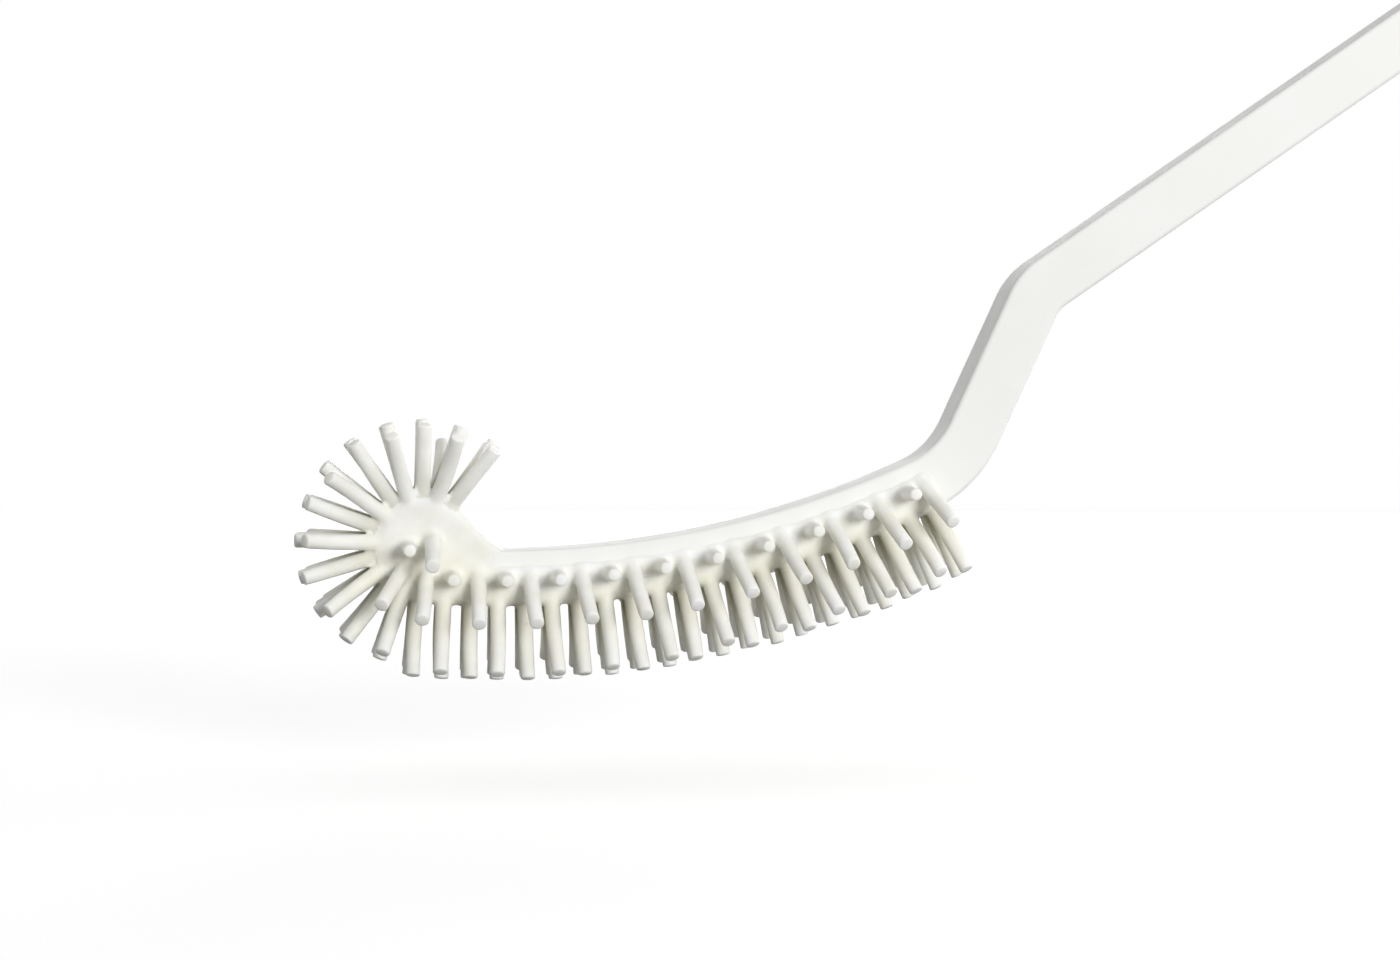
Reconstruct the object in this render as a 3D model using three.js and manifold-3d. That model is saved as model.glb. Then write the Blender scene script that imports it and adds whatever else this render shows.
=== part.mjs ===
// Toilet brush: a rigid bent bar, handle and head spine in one, with a soft overmoulding of rubber fingers.
// Millimetres. X runs from the finger tip end to the handle end, Z is up, Y is the brush's thickness.
// The origin is on the bar's centreline, in the middle of the hand grip.
import * as THREE from 'three';
import { mergeVertices } from 'three/addons/utils/BufferGeometryUtils.js';
import Module from 'manifold-3d';

const { degToRad } = THREE.MathUtils;

// Bar section
const BAR_WIDTH = 13.6;
const BAR_DEPTH = 14;
const EDGE_RADIUS = 1.2;

// Bar centreline, from the tip to the handle end: arch, heel bend, neck, shoulder bend, handle
const TIP_SLOPE = degToRad(-5);
const HEEL_SLOPE = degToRad(24);
const NECK_SLOPE = degToRad(65.1);
const HANDLE_SLOPE = degToRad(34.2);
const ARCH_RADIUS = 252.8;
const HEEL_BEND_RADIUS = 28;
const SHOULDER_BEND_RADIUS = 14;
const NECK_LENGTH = 35;
const HANDLE_LENGTH = 216;
const GRIP_FROM_END = 90;

// Round soft tip: its centre stands above the start of the centreline
const HUB_RADIUS = 12;
const HUB_RISE = 7.65;

// Spine inside the overmoulding: a bare band on top, a tongue below it, and a round end in the tip
const BARE_BAND = 3.6;
const TONGUE_DEPTH = 6;
const TONGUE_ROOT = 1;
const SOFT_FLOOR = 3;
const SPINE_END_RADIUS = 7;
const FIT_GAP = 0.3;

// One finger, and one of the short pegs that point straight out of the sides
const FINGER_LENGTH = 18.5;
const FINGER_ROOT_RADIUS = 2;
const FINGER_END_RADIUS = 1.75;
const FINGER_BURIED = 1.8;
const FINGER_SIDES = 7;
const PEG_LENGTH = 10;
const PEG_END_RADIUS = 1.5;
const FINGER = { length: FINGER_LENGTH, endRadius: FINGER_END_RADIUS };
const PEG = { length: PEG_LENGTH, endRadius: PEG_END_RADIUS };

// Finger stations: negative ones round the tip fan, 0 under the hub, positive ones along the underside
const FAN_STATIONS = 12;
const FAN_LEAN = degToRad(2.1);
const FAN_SWEEP = degToRad(214.5);
const STATION_PITCH = 6.6;
const HEEL_REACH = 1;
const HEEL_MARGIN = 4.5;
const SIDE_LEAD = 1.8;
const SIDE_ROOT_MARGIN = 0.1;

// Finger rows across the bar: even stations have a middle row, odd stations stand between them
const ROW_SPACING = 4.4;
const EVEN_ROWS = [
  { across: 0, splay: 0 },
  { across: ROW_SPACING, splay: degToRad(20) },
];
const ODD_ROWS = [
  { across: ROW_SPACING / 2, splay: degToRad(10) },
  { across: BAR_DEPTH / 2 - EDGE_RADIUS, splay: degToRad(32) },
];

// On the sides: fingers at even stations, and pegs at odd ones, a little lower
const SIDE_FINGER_SPLAY = degToRad(58);
const PEG_SPLAY = degToRad(90);
const PEG_DROP = 0.8;

// Towards the heel the rows splay more: by this gain, reached between two stations
const HEEL_SPLAY_GAIN = 1.4;
const SPLAY_GAIN_FROM = 8;
const SPLAY_GAIN_FULL = 13;

// On both faces of the hub: root from its centre, and which way and how far the finger or peg leans
const HUB_FACE_FINGERS = [
  { x: 2.8, z: 1, lean: degToRad(-94), splay: degToRad(72), kind: FINGER },
  { x: -3, z: -1, lean: degToRad(-94), splay: PEG_SPLAY, kind: PEG },
  { x: -3.7, z: -5.4, lean: degToRad(-128), splay: degToRad(58), kind: FINGER },
];

// Mesh fineness
const ARC_SAG = 0.05;
const CURVE_SEGMENTS = 16;
const EDGE_SEGMENTS = 2;

const BAR_MATERIAL = { color: 0xf3f4f0, roughness: 0.35, metalness: 0 };
const FINGER_MATERIAL = { color: 0xf1efe6, roughness: 0.55, metalness: 0 };

const TOP = BAR_WIDTH / 2;
const BOTTOM = -BAR_WIDTH / 2;
const BAND_BASE = TOP - BARE_BAND;
const WELL_BELOW = 2 * BOTTOM;
const WELL_BEYOND = 2 * BAR_DEPTH;

const wasm = await Module();
wasm.setup();

// Centreline, one entry for each arc or straight run
const RUNS = [
  { radius: ARCH_RADIUS, turn: HEEL_SLOPE - TIP_SLOPE },
  { radius: HEEL_BEND_RADIUS, turn: NECK_SLOPE - HEEL_SLOPE },
  { length: NECK_LENGTH, turn: 0 },
  { radius: SHOULDER_BEND_RADIUS, turn: HANDLE_SLOPE - NECK_SLOPE },
  { length: HANDLE_LENGTH, turn: 0 },
];

// Length of a run on the line that lies beside the centreline, offset to its upper side
function runLength(run, offset) {
  if (run.turn === 0) return run.length;
  return Math.abs(run.turn) * (run.radius - Math.sign(run.turn) * offset);
}

// Progress counts runs: 1.5 is halfway along the second one
function progressAt(distance, offset) {
  let rest = distance;
  for (const [index, run] of RUNS.entries()) {
    const length = runLength(run, offset);
    if (rest <= length) return index + rest / length;
    rest -= length;
  }
  return RUNS.length;
}

// Point and slope at a progress, offset to the upper side of the centreline
function pointAt(progress, offset) {
  let x = 0;
  let z = 0;
  let slope = TIP_SLOPE;
  for (const [index, run] of RUNS.entries()) {
    const share = THREE.MathUtils.clamp(progress - index, 0, 1);
    if (run.turn === 0) {
      x += share * run.length * Math.cos(slope);
      z += share * run.length * Math.sin(slope);
    } else {
      const radius = run.radius * Math.sign(run.turn);
      const end = slope + share * run.turn;
      x += radius * (Math.sin(end) - Math.sin(slope));
      z += radius * (Math.cos(slope) - Math.cos(end));
      slope = end;
    }
  }
  return { x: x - offset * Math.sin(slope), z: z + offset * Math.cos(slope), slope };
}

// Progress values between two ends, close enough together to keep every arc round
function progressStops(from, to) {
  const stops = [from];
  for (const [index, run] of RUNS.entries()) {
    let steps = 1;
    if (run.turn !== 0) {
      const stepAngle = 2 * Math.acos(1 - ARC_SAG / (run.radius + TOP));
      steps = Math.ceil(Math.abs(run.turn) / stepAngle);
    }
    for (let step = 1; step <= steps; step += 1) {
      const stop = index + step / steps;
      if (stop > from && stop < to) stops.push(stop);
    }
  }
  stops.push(to);
  return stops;
}

// Outline of a stretch of the bar between two offsets
function bandShape(from, to, lower, upper) {
  const stops = progressStops(from, to);
  const under = stops.map((stop) => pointAt(stop, lower));
  const over = stops.map((stop) => pointAt(stop, upper)).reverse();
  return new THREE.Shape([...under, ...over].map(({ x, z }) => new THREE.Vector2(x, z)));
}

// Outline of the whole bar, with a half-round handle end
function barShape() {
  const stops = progressStops(0, RUNS.length);
  const shape = new THREE.Shape(stops.map((stop) => {
    const { x, z } = pointAt(stop, BOTTOM);
    return new THREE.Vector2(x, z);
  }));
  const end = pointAt(RUNS.length, 0);
  shape.absarc(end.x, end.z, TOP, end.slope - Math.PI / 2, end.slope + Math.PI / 2, false);
  for (const stop of stops.reverse().slice(1)) {
    const { x, z } = pointAt(stop, TOP);
    shape.lineTo(x, z);
  }
  return shape;
}

function discShape(centre, radius) {
  return new THREE.Shape().absarc(centre.x, centre.z, radius, 0, 2 * Math.PI, false);
}

// A closed geometry as a solid that can be joined and cut
function solidOf(geometry) {
  const bare = geometry.clone();
  bare.deleteAttribute('normal');
  bare.deleteAttribute('uv');
  const merged = mergeVertices(bare, 1e-4);
  const index = merged.index.array;
  const triangles = [];
  for (let corner = 0; corner < index.length; corner += 3) {
    const [a, b, c] = index.slice(corner, corner + 3);
    if (a !== b && b !== c && c !== a) triangles.push(a, b, c);
  }
  return new wasm.Manifold(new wasm.Mesh({
    numProp: 3,
    vertProperties: new Float32Array(merged.attributes.position.array),
    triVerts: new Uint32Array(triangles),
  }));
}

// An outline in the XZ plane, thickened evenly about that plane, with rounded rims
function plate(shape, depth, rounding) {
  const geometry = new THREE.ExtrudeGeometry(shape, {
    depth: depth - 2 * rounding,
    curveSegments: CURVE_SEGMENTS,
    bevelEnabled: rounding > 0,
    bevelThickness: rounding,
    bevelSize: rounding,
    bevelOffset: -rounding,
    bevelSegments: EDGE_SEGMENTS,
  });
  geometry.translate(0, 0, rounding - depth / 2);
  geometry.rotateX(Math.PI / 2);
  return solidOf(geometry);
}

// One finger or peg from its root point along a direction, buried a little behind the root
function finger(root, direction, kind) {
  const profile = [
    new THREE.Vector2(0, -FINGER_BURIED),
    new THREE.Vector2(FINGER_ROOT_RADIUS, -FINGER_BURIED),
    new THREE.Vector2(kind.endRadius, kind.length),
    new THREE.Vector2(0, kind.length),
  ];
  const geometry = new THREE.LatheGeometry(profile, FINGER_SIDES);
  const up = new THREE.Vector3(0, 1, 0);
  geometry.applyQuaternion(new THREE.Quaternion().setFromUnitVectors(up, direction));
  geometry.translate(root.x, root.y, root.z);
  return solidOf(geometry);
}

// Stations fill the underside from the hub to a little past the arch
const UNDERSIDE_RUN = runLength(RUNS[0], BOTTOM) + HEEL_REACH;
const LAST_STATION = 2 * Math.round(UNDERSIDE_RUN / STATION_PITCH / 2);
const UNDERSIDE_STEP = UNDERSIDE_RUN / LAST_STATION;
const SOFT_END = progressAt(UNDERSIDE_RUN + HEEL_MARGIN, BOTTOM);
const TONGUE_END = progressAt(UNDERSIDE_RUN + HEEL_MARGIN + TONGUE_ROOT, BOTTOM);
const HUB_CENTRE = pointAt(0, HUB_RISE);

function hasPegs(station) {
  return station % 2 !== 0;
}

// How far ahead of its station a peg or a side finger stands: fingers less and less towards the heel
function sideLead(station) {
  return hasPegs(station) ? SIDE_LEAD : SIDE_LEAD * (1 - station / LAST_STATION);
}

// Point on the underside, and the direction that points straight out of it
function undersideAt(distance) {
  const { x, z, slope } = pointAt(progressAt(distance, BOTTOM), BOTTOM);
  const out = new THREE.Vector3(Math.sin(slope), 0, -Math.cos(slope));
  return { out, point: new THREE.Vector3(x, 0, z) };
}

// The same for a station, on the hub or on the underside
function stationAt(station) {
  if (station >= 0) return undersideAt(station * UNDERSIDE_STEP);
  const angle = TIP_SLOPE - Math.PI / 2 + FAN_LEAN + (station / FAN_STATIONS) * FAN_SWEEP;
  const out = new THREE.Vector3(Math.cos(angle), 0, Math.sin(angle));
  const centre = new THREE.Vector3(HUB_CENTRE.x, 0, HUB_CENTRE.z);
  return { out, point: centre.addScaledVector(out, HUB_RADIUS) };
}

// Direction that leans from a station's outward direction towards a side, minus or plus Y
function splayed(out, splay, side) {
  const sideways = new THREE.Vector3(0, side * Math.sin(splay), 0);
  return sideways.addScaledVector(out, Math.cos(splay));
}

// Highest offset at which a side finger's buried root stays under the bare band
function sideRootOffset(splay) {
  const rise = FINGER_BURIED * Math.cos(splay) + FINGER_ROOT_RADIUS * Math.sin(splay);
  return BAND_BASE - FIT_GAP - SIDE_ROOT_MARGIN - rise;
}

// The fingers of one station's rows
function rowFingers(station) {
  const { out, point } = stationAt(station);
  const { smoothstep, lerp } = THREE.MathUtils;
  const gain = lerp(1, HEEL_SPLAY_GAIN, smoothstep(station, SPLAY_GAIN_FROM, SPLAY_GAIN_FULL));
  const fingers = [];
  for (const row of station % 2 === 0 ? EVEN_ROWS : ODD_ROWS) {
    for (const side of row.across === 0 ? [1] : [-1, 1]) {
      const root = point.clone().setY(side * row.across);
      fingers.push(finger(root, splayed(out, gain * row.splay, side), FINGER));
    }
  }
  return fingers;
}

// The two fingers or pegs that stand out of the bar's sides by a station
function sideFingers(station) {
  const { out, point } = undersideAt(station * UNDERSIDE_STEP + sideLead(station));
  const kind = hasPegs(station) ? PEG : FINGER;
  const splay = hasPegs(station) ? PEG_SPLAY : SIDE_FINGER_SPLAY;
  const offset = sideRootOffset(splay) - (hasPegs(station) ? PEG_DROP : 0);
  return [-1, 1].map((side) => {
    const root = point.clone().addScaledVector(out, BOTTOM - offset);
    return finger(root.setY((side * BAR_DEPTH) / 2), splayed(out, splay, side), kind);
  });
}

// The fingers and pegs that stand out of the hub's faces
function hubFaceFingers() {
  return HUB_FACE_FINGERS.flatMap(({ x, z, lean, splay, kind }) => [-1, 1].map((side) => {
    const root = new THREE.Vector3(HUB_CENTRE.x + x, (side * BAR_DEPTH) / 2, HUB_CENTRE.z + z);
    return finger(root, splayed(new THREE.Vector3(Math.cos(lean), 0, Math.sin(lean)), splay, side), kind);
  }));
}

const bar = plate(barShape(), BAR_DEPTH, EDGE_RADIUS);
const hub = plate(discShape(HUB_CENTRE, HUB_RADIUS), BAR_DEPTH, EDGE_RADIUS);
const nose = plate(discShape(pointAt(0, 0), BAR_WIDTH / 2), BAR_DEPTH, EDGE_RADIUS);

// The tongue and round end, grown by a clearance for the room that they take in the soft pieces
function tongue(clearance) {
  const start = progressAt(FIT_GAP - clearance, 0);
  const lower = BOTTOM + SOFT_FLOOR - clearance;
  const upper = BAND_BASE + TONGUE_ROOT + clearance;
  const depth = TONGUE_DEPTH + 2 * clearance;
  const strip = plate(bandShape(start, TONGUE_END, lower, upper), depth, 0);
  return strip.add(plate(discShape(HUB_CENTRE, SPINE_END_RADIUS + clearance), depth, 0));
}

function handleCore() {
  const softRoom = plate(bandShape(0, SOFT_END, WELL_BELOW, BAND_BASE), WELL_BEYOND, 0);
  const hubRoom = plate(discShape(HUB_CENTRE, HUB_RADIUS + FIT_GAP), WELL_BEYOND, 0);
  const noseRoom = plate(discShape(pointAt(0, 0), BAR_WIDTH / 2 + FIT_GAP), WELL_BEYOND, 0);
  return bar.subtract(softRoom).subtract(hubRoom).subtract(noseRoom).add(tongue(0));
}

// Progress of the cut between a station's side fingers and the next rows, moved by a distance
function cutAfter(station, shift) {
  return progressAt((station + 0.5) * UNDERSIDE_STEP + sideLead(station) / 2 + shift, BOTTOM);
}

// The overmoulding from one station to another, with its fingers
function softPiece(first, last) {
  const from = first > 0 ? cutAfter(first - 1, FIT_GAP / 2) : 0;
  const endGap = progressAt(UNDERSIDE_RUN + HEEL_MARGIN - FIT_GAP, BOTTOM);
  const to = last < LAST_STATION ? cutAfter(last, -FIT_GAP / 2) : endGap;
  const room = plate(bandShape(from, to, WELL_BELOW, BAND_BASE - FIT_GAP), WELL_BEYOND, 0);
  let piece = bar.intersect(room);
  const fingers = first <= 0 ? hubFaceFingers() : [];
  for (let station = first; station <= last; station += 1) {
    fingers.push(...rowFingers(station));
    if (station >= 0) fingers.push(...sideFingers(station));
  }
  if (first <= 0) piece = piece.add(hub).add(nose);
  for (const one of fingers) piece = piece.add(one);
  return piece.subtract(tongue(FIT_GAP));
}

// A finished solid as a named mesh
function named(name, solid, material) {
  const { vertProperties, triVerts } = solid.getMesh();
  const geometry = new THREE.BufferGeometry();
  geometry.setAttribute('position', new THREE.BufferAttribute(vertProperties, 3));
  geometry.setIndex(new THREE.BufferAttribute(triVerts, 1));
  geometry.computeVertexNormals();
  const mesh = new THREE.Mesh(geometry, new THREE.MeshStandardMaterial(material));
  mesh.name = name;
  return mesh;
}

// The tip piece ends past the hub, and the other three share the rest of the underside
const tipEnd = Math.ceil((HUB_RADIUS + FIT_GAP) / UNDERSIDE_STEP - 0.5);
const toeEnd = tipEnd + Math.round((LAST_STATION - tipEnd) / 3);
const middleEnd = tipEnd + Math.round((2 * (LAST_STATION - tipEnd)) / 3);
const grip = pointAt(RUNS.length - GRIP_FROM_END / HANDLE_LENGTH, 0);

const brush = new THREE.Group();
brush.add(named('handle_core', handleCore(), BAR_MATERIAL));
brush.add(named('tip_fingers', softPiece(-FAN_STATIONS, tipEnd), FINGER_MATERIAL));
brush.add(named('toe_fingers', softPiece(tipEnd + 1, toeEnd), FINGER_MATERIAL));
brush.add(named('middle_fingers', softPiece(toeEnd + 1, middleEnd), FINGER_MATERIAL));
brush.add(named('heel_fingers', softPiece(middleEnd + 1, LAST_STATION), FINGER_MATERIAL));
brush.position.set(-grip.x, 0, -grip.z);

export default brush;
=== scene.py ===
import math

import bpy
import numpy as np
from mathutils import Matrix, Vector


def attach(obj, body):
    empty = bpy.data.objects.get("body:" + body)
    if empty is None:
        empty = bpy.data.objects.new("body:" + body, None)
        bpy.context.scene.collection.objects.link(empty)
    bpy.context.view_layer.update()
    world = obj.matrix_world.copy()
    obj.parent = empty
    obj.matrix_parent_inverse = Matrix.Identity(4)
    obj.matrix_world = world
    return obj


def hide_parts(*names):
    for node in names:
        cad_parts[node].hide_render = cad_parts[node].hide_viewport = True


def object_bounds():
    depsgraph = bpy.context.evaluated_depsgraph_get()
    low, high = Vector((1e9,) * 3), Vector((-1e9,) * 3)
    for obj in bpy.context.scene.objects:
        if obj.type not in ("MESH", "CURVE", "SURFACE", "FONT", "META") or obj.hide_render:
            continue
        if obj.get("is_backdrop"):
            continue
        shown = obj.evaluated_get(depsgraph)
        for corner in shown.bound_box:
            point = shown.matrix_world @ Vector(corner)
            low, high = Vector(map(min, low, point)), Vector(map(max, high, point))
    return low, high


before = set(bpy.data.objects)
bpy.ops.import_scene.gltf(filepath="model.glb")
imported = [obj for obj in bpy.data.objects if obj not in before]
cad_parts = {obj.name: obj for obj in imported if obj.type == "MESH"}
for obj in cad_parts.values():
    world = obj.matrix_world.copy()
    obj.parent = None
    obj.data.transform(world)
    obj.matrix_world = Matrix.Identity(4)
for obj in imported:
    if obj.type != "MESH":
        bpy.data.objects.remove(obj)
cad_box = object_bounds()

# Sizes in millimetres, in the part's own coordinates: X along the brush from its tip, Y its thickness, Z up
BAR_WIDTH = 13.6
BAR_DEPTH = 14.0
EDGE_RADIUS = 1.2
TOP = BAR_WIDTH / 2
BOTTOM = -BAR_WIDTH / 2
FACE = BAR_DEPTH / 2

# Bar centreline, from the tip to the handle end: arch, heel bend, neck, shoulder bend, handle
TIP_SLOPE = math.radians(-5)
HEEL_SLOPE = math.radians(24)
NECK_SLOPE = math.radians(65.1)
HANDLE_SLOPE = math.radians(34.2)
ARCH_RADIUS = 252.8
HEEL_BEND_RADIUS = 28.0
SHOULDER_BEND_RADIUS = 14.0
NECK_LENGTH = 35.0
HANDLE_LENGTH = 216.0
GRIP_FROM_END = 90.0

# Round soft tip, and how far the overmoulding covers the bar
HUB_RADIUS = 12.0
HUB_RISE = 7.65
BAND_BASE = 3.2
HEEL_REACH = 1.0
HEEL_MARGIN = 4.5

# Fingers: one finger, one short peg, the fan round the tip, and the rows under the bar
FINGER_LENGTH = 18.5
FINGER_ROOT_RADIUS = 2.0
FINGER_END_RADIUS = 1.75
FINGER_BURIED = 1.8
PEG_LENGTH = 10.0
PEG_END_RADIUS = 1.5
FINGER = (FINGER_LENGTH, FINGER_END_RADIUS)
PEG = (PEG_LENGTH, PEG_END_RADIUS)
FAN_STATIONS = 12
FAN_LEAN = math.radians(2.1)
FAN_SWEEP = math.radians(214.5)
STATION_PITCH = 6.6
SIDE_LEAD = 1.8
SIDE_CLEARANCE = 0.4
EVEN_ROWS = ((0.0, 0.0), (4.4, math.radians(20)))
ODD_ROWS = ((2.2, math.radians(10)), (FACE - EDGE_RADIUS, math.radians(32)))
SIDE_FINGER_SPLAY = math.radians(58)
PEG_SPLAY = math.radians(90)
PEG_DROP = 0.8
HEEL_SPLAY_GAIN = 1.4
SPLAY_GAIN_FROM = 8
SPLAY_GAIN_FULL = 13
# The one far finger of the fan that leans out of line: its station, place across and side, and how it leans
STRAY_FINGER = (-11, FACE - EDGE_RADIUS, 1)
STRAY_TURN = math.radians(9)
STRAY_SPLAY = math.radians(44)
# On both faces of the hub: root from its centre, and which way and how far the finger or peg leans
HUB_FACE_FINGERS = (
    (2.8, 1.0, math.radians(-94), math.radians(72), FINGER),
    (-3.0, -1.0, math.radians(-94), PEG_SPLAY, PEG),
    (-3.7, -5.4, math.radians(-128), math.radians(58), FINGER),
)

# Tint of the overmoulding: depth, height and rows of its painted shade, and where the tip's tint gives way
PAINTED_SHADE_DEPTH = 2.5
PAINTED_SHADE_HEIGHT = 14.0
PAINTED_SHADE_ROWS = (3.0, 5.6)
TINT_CHANGE = (6.0, 24.0)

# Skin of the overmoulding: proud of the bar where it covers it, sunk in the bar where it ends
SKIN_PROUD = 0.22
SKIN_SUNK = 0.6
SKIN_FADE = 1.2
SKIN_END_FADE = 2.5
TIP_COVER = (16.0, 22.0)
HIDDEN_TOP = 3.9
HUB_ROUNDING = 3.2
SOLE_ROUNDING = 2.4
SOLE_STOPS = (8.0, 4.0)
ROUNDING_FADE = (2.0, 13.0)
HUB_FILLET = 12.5
NOSE_FILLET = 2.5
ROW_FILLET = 1.1
SIDE_FILLET = 1.8
FINGER_FILLET = 1.1

# Mesh of the overmoulding
GRID_PITCH = 0.65
SLOPE_STEP = GRID_PITCH / 10
LONGEST_MOVE = GRID_PITCH / 2
JUST_INSIDE = -GRID_PITCH / 20
LEAST_STEEPNESS = 0.25
FIRST_RELAXINGS = 3
LAST_RELAXINGS = 2
STUB_LENGTH = 7.0
FAR_AWAY = STUB_LENGTH * 10
SHANK_START = 5.0
SHANK_REACH = 3.0
SHANK_STEPS = 4
RIM_RADIUS = 0.42
RIM_STEPS = 3
END_DOME = 0.12
DOME_RING_HEIGHT = END_DOME * 0.75
SHANK_BEND = 0.55
ALONG_Y = 0.7
LENGTH_SPREAD = 0.3
SEED = 7

# Mesh of the handle
RIM_SEGMENTS = 6
ARC_STEP = math.radians(2)
ARCH_FINENESS = 4
STRAIGHT_STEP = 6.0
END_STEPS = 40
NORMAL_WEIGHT = 100
SPINE_START = (9.0, 14.0)
SPINE_START_INSET = 2.0
SPINE_FLOOR = 3.0
SPINE_FLOOR_STOPS = (2 * SKIN_END_FADE, 1.5 * SKIN_END_FADE)

MM = 0.001


def smoothstep(value, low, high):
    share = np.clip((value - low) / (high - low), 0.0, 1.0)
    return share * share * (3 - 2 * share)


# Centreline

RUNS = (
    {"radius": ARCH_RADIUS, "turn": HEEL_SLOPE - TIP_SLOPE},
    {"radius": HEEL_BEND_RADIUS, "turn": NECK_SLOPE - HEEL_SLOPE},
    {"length": NECK_LENGTH, "turn": 0.0},
    {"radius": SHOULDER_BEND_RADIUS, "turn": HANDLE_SLOPE - NECK_SLOPE},
    {"length": HANDLE_LENGTH, "turn": 0.0},
)


def run_length(run, offset):
    """Length of a run on the line beside the centreline, offset to its upper side."""
    if run["turn"] == 0:
        return run["length"]
    return abs(run["turn"]) * (run["radius"] - math.copysign(1, run["turn"]) * offset)


def progress_at(distance, offset):
    """Progress counts runs: 1.5 is halfway along the second one."""
    rest = distance
    for index, run in enumerate(RUNS):
        length = run_length(run, offset)
        if rest <= length:
            return index + rest / length
        rest -= length
    return len(RUNS)


def point_at(progress, offset):
    """X, Z and slope at a progress, offset to the upper side of the centreline."""
    x = 0.0
    z = 0.0
    slope = TIP_SLOPE
    for index, run in enumerate(RUNS):
        share = min(max(progress - index, 0.0), 1.0)
        if run["turn"] == 0:
            x += share * run["length"] * math.cos(slope)
            z += share * run["length"] * math.sin(slope)
        else:
            radius = math.copysign(run["radius"], run["turn"])
            end = slope + share * run["turn"]
            x += radius * (math.sin(end) - math.sin(slope))
            z += radius * (math.cos(slope) - math.cos(end))
            slope = end
    return x - offset * math.sin(slope), z + offset * math.cos(slope), slope


GRIP_X, GRIP_Z, _ = point_at(len(RUNS) - GRIP_FROM_END / HANDLE_LENGTH, 0.0)
GRIP = np.array([GRIP_X, 0.0, GRIP_Z])


def in_frame(points):
    """Points of the part's own coordinates, in the frame's metres."""
    return (np.asarray(points) - GRIP) * MM


def piece_from_mesh(name, points, faces):
    mesh = bpy.data.meshes.new(name)
    mesh.from_pydata(in_frame(points).tolist(), [], faces)
    mesh.update()
    mesh.shade_smooth()
    piece = bpy.data.objects.new(name, mesh)
    bpy.context.scene.collection.objects.link(piece)
    return piece


# Finger layout: a root point, a direction and a kind, finger or peg, for every one

UNDERSIDE_RUN = run_length(RUNS[0], BOTTOM) + HEEL_REACH
LAST_STATION = 2 * round(UNDERSIDE_RUN / STATION_PITCH / 2)
UNDERSIDE_STEP = UNDERSIDE_RUN / LAST_STATION
SOFT_RUN = UNDERSIDE_RUN + HEEL_MARGIN
HUB_X, HUB_Z, _ = point_at(0.0, HUB_RISE)


def underside_at(distance):
    x, z, slope = point_at(progress_at(distance, BOTTOM), BOTTOM)
    return np.array([x, 0.0, z]), np.array([math.sin(slope), 0.0, -math.cos(slope)])


def station_at(station):
    if station >= 0:
        return underside_at(station * UNDERSIDE_STEP)
    angle = TIP_SLOPE - math.pi / 2 + FAN_LEAN + station / FAN_STATIONS * FAN_SWEEP
    out = np.array([math.cos(angle), 0.0, math.sin(angle)])
    return np.array([HUB_X, 0.0, HUB_Z]) + HUB_RADIUS * out, out


def splayed(out, splay, side):
    return out * math.cos(splay) + np.array([0.0, side * math.sin(splay), 0.0])


def turned(out, angle):
    """A direction in the brush's own plane, turned from X towards Z."""
    x = out[0] * math.cos(angle) - out[2] * math.sin(angle)
    z = out[0] * math.sin(angle) + out[2] * math.cos(angle)
    return np.array([x, 0.0, z])


def row_fingers(station):
    point, out = station_at(station)
    gain = 1 + (HEEL_SPLAY_GAIN - 1) * smoothstep(station, SPLAY_GAIN_FROM, SPLAY_GAIN_FULL)
    for across, splay in EVEN_ROWS if station % 2 == 0 else ODD_ROWS:
        for side in (1,) if across == 0 else (-1, 1):
            root = point + np.array([0.0, side * across, 0.0])
            axis = splayed(out, gain * splay, side)
            if (station, across, side) == STRAY_FINGER:
                axis = splayed(turned(out, STRAY_TURN), STRAY_SPLAY, side)
            yield root, axis, FINGER


def side_fingers(station):
    has_pegs = station % 2 != 0
    kind = PEG if has_pegs else FINGER
    lead = SIDE_LEAD if has_pegs else SIDE_LEAD * (1 - station / LAST_STATION)
    point, out = underside_at(station * UNDERSIDE_STEP + lead)
    splay = PEG_SPLAY if has_pegs else SIDE_FINGER_SPLAY
    rise = FINGER_BURIED * math.cos(splay) + FINGER_ROOT_RADIUS * math.sin(splay)
    root_offset = BAND_BASE - SIDE_CLEARANCE - rise - (PEG_DROP if has_pegs else 0.0)
    for side in (-1, 1):
        root = point + out * (BOTTOM - root_offset) + np.array([0.0, side * FACE, 0.0])
        yield root, splayed(out, splay, side), kind


def hub_face_fingers():
    for x, z, lean, splay, kind in HUB_FACE_FINGERS:
        out = np.array([math.cos(lean), 0.0, math.sin(lean)])
        for side in (-1, 1):
            yield np.array([HUB_X + x, side * FACE, HUB_Z + z]), splayed(out, splay, side), kind


ROWS = [finger for station in range(-FAN_STATIONS, LAST_STATION + 1) for finger in row_fingers(station)]
SIDES = [finger for station in range(LAST_STATION + 1) for finger in side_fingers(station)]
SIDES += hub_face_fingers()
FINGERS = ROWS + SIDES
ROOTS = np.array([root for root, _, _ in FINGERS])
AXES = np.array([axis for _, axis, _ in FINGERS])
KINDS = [kind for _, _, kind in FINGERS]


def finger_radius(height, kind):
    length, end_radius = kind
    share = (height + FINGER_BURIED) / (length + FINGER_BURIED)
    return FINGER_ROOT_RADIUS + (end_radius - FINGER_ROOT_RADIUS) * share


# Overmoulding as a distance field: negative inside, in millimetres

ARCH_CENTRE = (-ARCH_RADIUS * math.sin(TIP_SLOPE), ARCH_RADIUS * math.cos(TIP_SLOPE))
ARCH_LENGTH = run_length(RUNS[0], 0.0)
HEEL_CENTRE = point_at(1.0, HEEL_BEND_RADIUS)[:2]
PAST_ARCH = SOFT_RUN - run_length(RUNS[0], BOTTOM)
SOFT_END = ARCH_LENGTH + PAST_ARCH * HEEL_BEND_RADIUS / (HEEL_BEND_RADIUS + TOP)


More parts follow.
